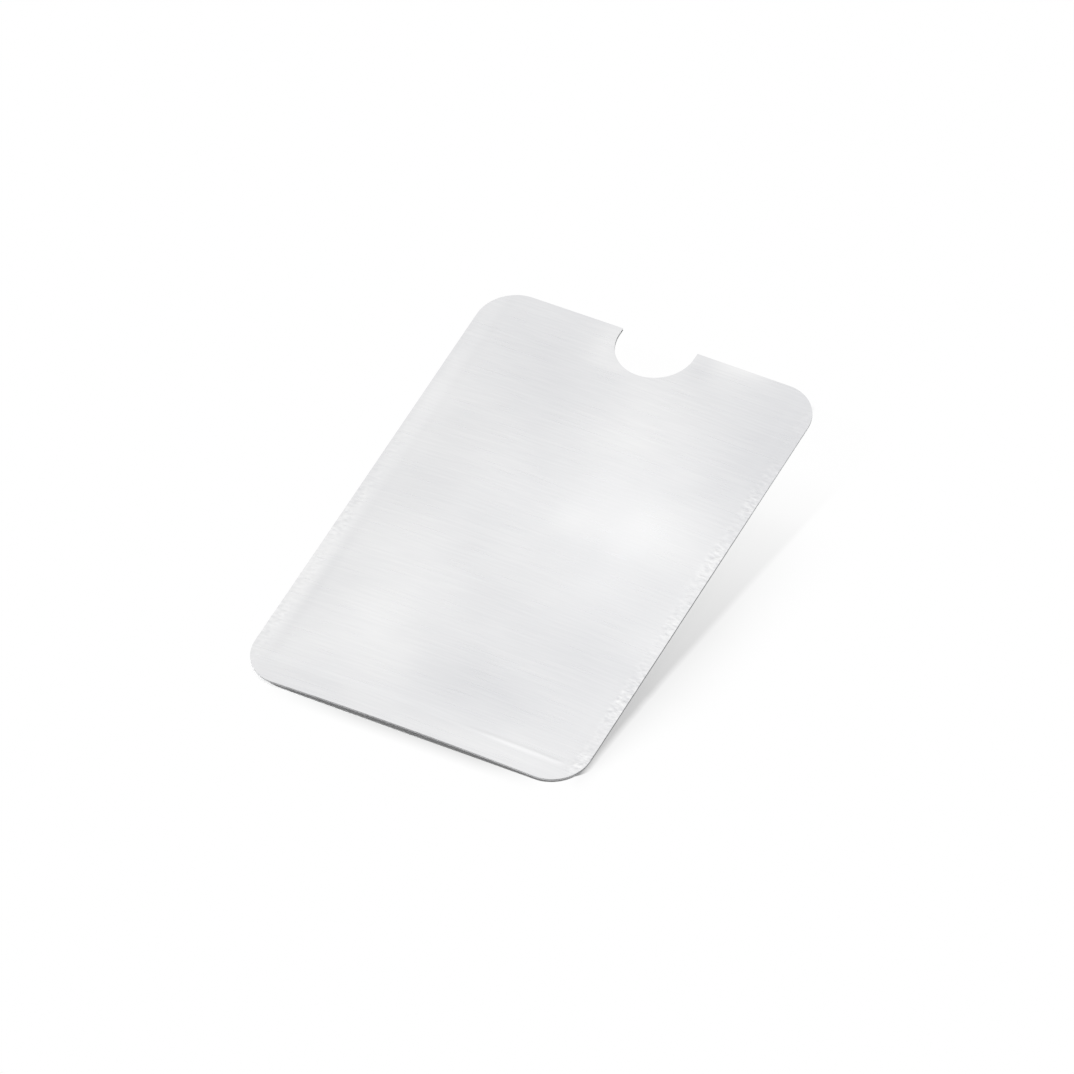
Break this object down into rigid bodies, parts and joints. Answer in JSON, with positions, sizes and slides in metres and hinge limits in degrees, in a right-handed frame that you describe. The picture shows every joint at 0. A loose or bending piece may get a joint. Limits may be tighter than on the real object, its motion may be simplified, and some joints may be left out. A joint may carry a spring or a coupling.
{
  "type": "card sleeve",
  "caption": "Flat foil pouch that holds and shields a contactless card: sealed sides and bottom, rounded corners, open mouth with a round thumb notch.",
  "frame": {"origin": "under the middle of the sleeve, on the back wall's outer face, which rests on the surface", "axes": "+Y along the length towards the open mouth, +X across the width to the right as the front is looked at, +Z out of the front wall"},
  "size_m": [0.062, 0.091, 0.0013],
  "materials": {
    "brushed_foil": "satin, finely brushed across the width",
    "seal_film": "smooth, milky film"
  },
  "bodies": {
    "root": {"back_foil": "brushed_foil", "back_liner": "seal_film", "left_seal": "seal_film", "right_seal": "seal_film", "bottom_seal": "seal_film", "front_liner": "seal_film", "front_foil": "brushed_foil"}
  },
  "joints": []
}
